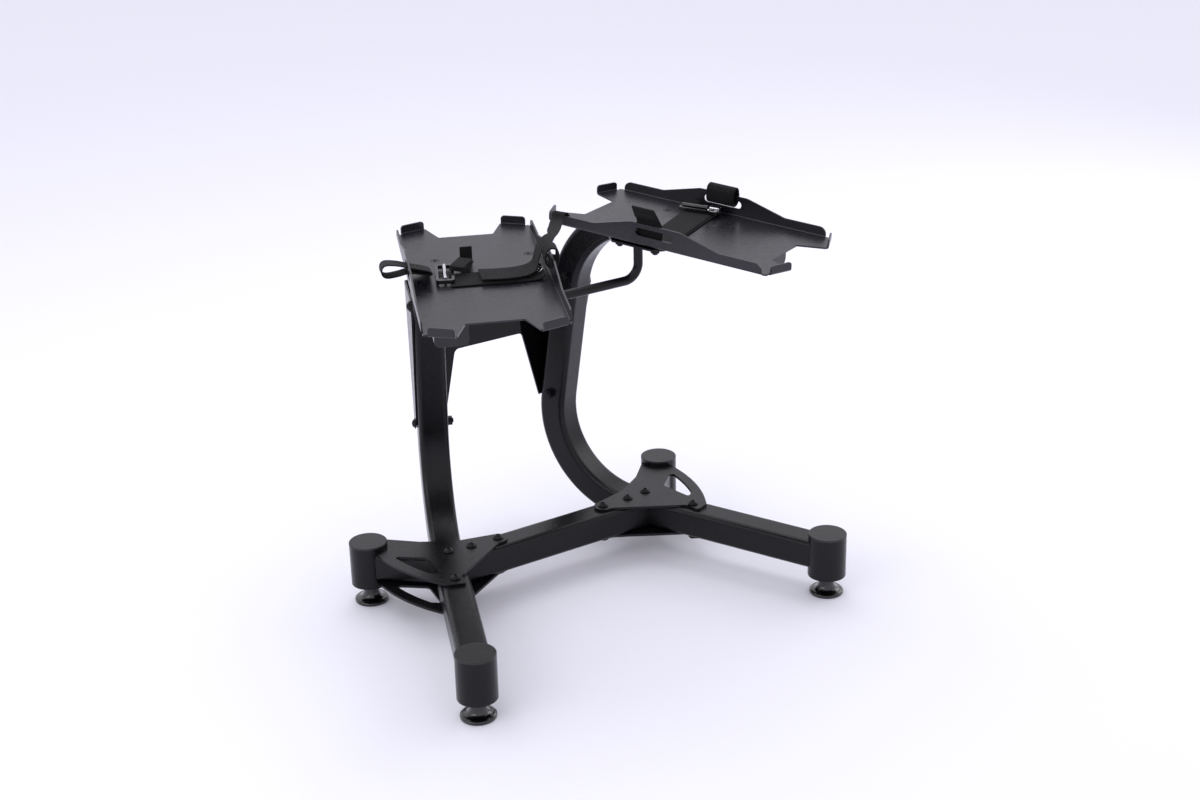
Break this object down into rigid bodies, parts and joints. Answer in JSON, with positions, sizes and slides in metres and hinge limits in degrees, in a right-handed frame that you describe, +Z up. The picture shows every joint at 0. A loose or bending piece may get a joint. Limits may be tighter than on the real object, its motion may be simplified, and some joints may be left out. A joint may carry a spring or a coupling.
{
  "type": "dumbbell stand",
  "caption": "Two-tray floor stand for a pair of adjustable dumbbells, with bent side tubes, levelling feet and hold-down straps.",
  "frame": {"origin": "middle of the stand's footprint, on the floor", "axes": "+X to the stand's right, +Z up; the front, where the trays' lower ends are, faces -Y"},
  "size_m": [0.698, 0.5614, 0.6375],
  "materials": {
    "frame_paint": "fine-textured satin black powder coat",
    "tray_paint": "fine-textured charcoal powder coat",
    "black_plastic": "matt black moulded plastic",
    "foot_rubber": "glossy black moulded plastic",
    "black_fastener": "black oxide steel, satin",
    "zinc_steel": "zinc-plated steel, satin",
    "bright_metal": "polished steel",
    "gloss_plastic": "glossy black moulded plastic",
    "webbing": "woven black polyester webbing, matt"
  },
  "bodies": {
    "stand": {"crossbeam": "frame_paint", "left_side_tube": "frame_paint", "right_side_tube": "frame_paint", "left_rear_leg_tube": "frame_paint", "right_rear_leg_tube": "frame_paint", "front_left_foot_housing": "frame_paint", "front_right_foot_housing": "frame_paint", "rear_left_foot_housing": "frame_paint", "rear_right_foot_housing": "frame_paint", "front_left_cap": "black_plastic", "front_right_cap": "black_plastic", "rear_left_cap": "black_plastic", "rear_right_cap": "black_plastic", "front_left_insert": "zinc_steel", "front_right_insert": "zinc_steel", "rear_left_insert": "zinc_steel", "rear_right_insert": "zinc_steel", "left_top_gusset": "frame_paint", "right_top_gusset": "frame_paint", "left_bottom_gusset": "frame_paint", "right_bottom_gusset": "frame_paint", "gusset_bolts": "black_fastener", "gusset_washers": "black_fastener", "gusset_nuts": "black_fastener", "upper_bracket": "frame_paint", "bracket_bolts": "black_fastener", "bracket_washers": "black_fastener", "bracket_nuts": "black_fastener", "left_tray_mount": "frame_paint", "right_tray_mount": "frame_paint", "grab_bar": "frame_paint", "left_arm_plug": "black_plastic", "right_arm_plug": "black_plastic", "left_tray": "tray_paint", "right_tray": "tray_paint", "tray_screws": "black_fastener", "tray_lock_nuts": "black_fastener", "tray_rivet_nuts": "zinc_steel", "right_strap_loop": "webbing", "right_strap_band": "webbing", "right_strap_tail": "webbing", "right_buckle_frame": "gloss_plastic", "right_buckle_bar": "bright_metal", "left_strap_loop": "webbing", "left_strap_band": "webbing", "left_strap_outer_loop": "webbing", "left_strap_fold": "webbing", "left_strap_tab": "webbing", "left_strap_hung_end": "webbing", "left_buckle_frame": "gloss_plastic", "left_buckle_bar": "bright_metal"},
    "front_left_foot": {"front_left_foot_pad": "foot_rubber"},
    "front_left_stud": {"front_left_stud": "zinc_steel"},
    "front_right_foot": {"front_right_foot_pad": "foot_rubber"},
    "front_right_stud": {"front_right_stud": "zinc_steel"},
    "rear_left_foot": {"rear_left_foot_pad": "foot_rubber"},
    "rear_left_stud": {"rear_left_stud": "zinc_steel"},
    "rear_right_foot": {"rear_right_foot_pad": "foot_rubber"},
    "rear_right_stud": {"rear_right_stud": "zinc_steel"}
  },
  "joints": [
    {"name": "front_left_foot_height", "type": "slide", "parent": "stand", "child": "front_left_foot", "axis": [0, 0, -1], "range_m": [0, 0.0122]},
    {"name": "front_left_stud_screw", "type": "hinge", "parent": "front_left_foot", "child": "front_left_stud", "pos_m": [-0.319, -0.2442, 0.05], "axis": [0, 0, 1], "range_deg": [0, 2880]},
    {"name": "front_right_foot_height", "type": "slide", "parent": "stand", "child": "front_right_foot", "axis": [0, 0, -1], "range_m": [0, 0.0122]},
    {"name": "front_right_stud_screw", "type": "hinge", "parent": "front_right_foot", "child": "front_right_stud", "pos_m": [0.319, -0.2442, 0.05], "axis": [0, 0, 1], "range_deg": [0, 2880]},
    {"name": "rear_left_foot_height", "type": "slide", "parent": "stand", "child": "rear_left_foot", "axis": [0, 0, -1], "range_m": [0, 0.0122]},
    {"name": "rear_left_stud_screw", "type": "hinge", "parent": "rear_left_foot", "child": "rear_left_stud", "pos_m": [-0.2795, 0.1588, 0.05], "axis": [0, 0, 1], "range_deg": [0, 2880]},
    {"name": "rear_right_foot_height", "type": "slide", "parent": "stand", "child": "rear_right_foot", "axis": [0, 0, -1], "range_m": [0, 0.0122]},
    {"name": "rear_right_stud_screw", "type": "hinge", "parent": "rear_right_foot", "child": "rear_right_stud", "pos_m": [0.2795, 0.1588, 0.05], "axis": [0, 0, 1], "range_deg": [0, 2880]}
  ],
  "couplings": [
    {"joint": "front_left_foot_height", "follows": "front_left_stud_screw", "m_per_rad": 0.00023873},
    {"joint": "front_right_foot_height", "follows": "front_right_stud_screw", "m_per_rad": 0.00023873},
    {"joint": "rear_left_foot_height", "follows": "rear_left_stud_screw", "m_per_rad": 0.00023873},
    {"joint": "rear_right_foot_height", "follows": "rear_right_stud_screw", "m_per_rad": 0.00023873}
  ]
}
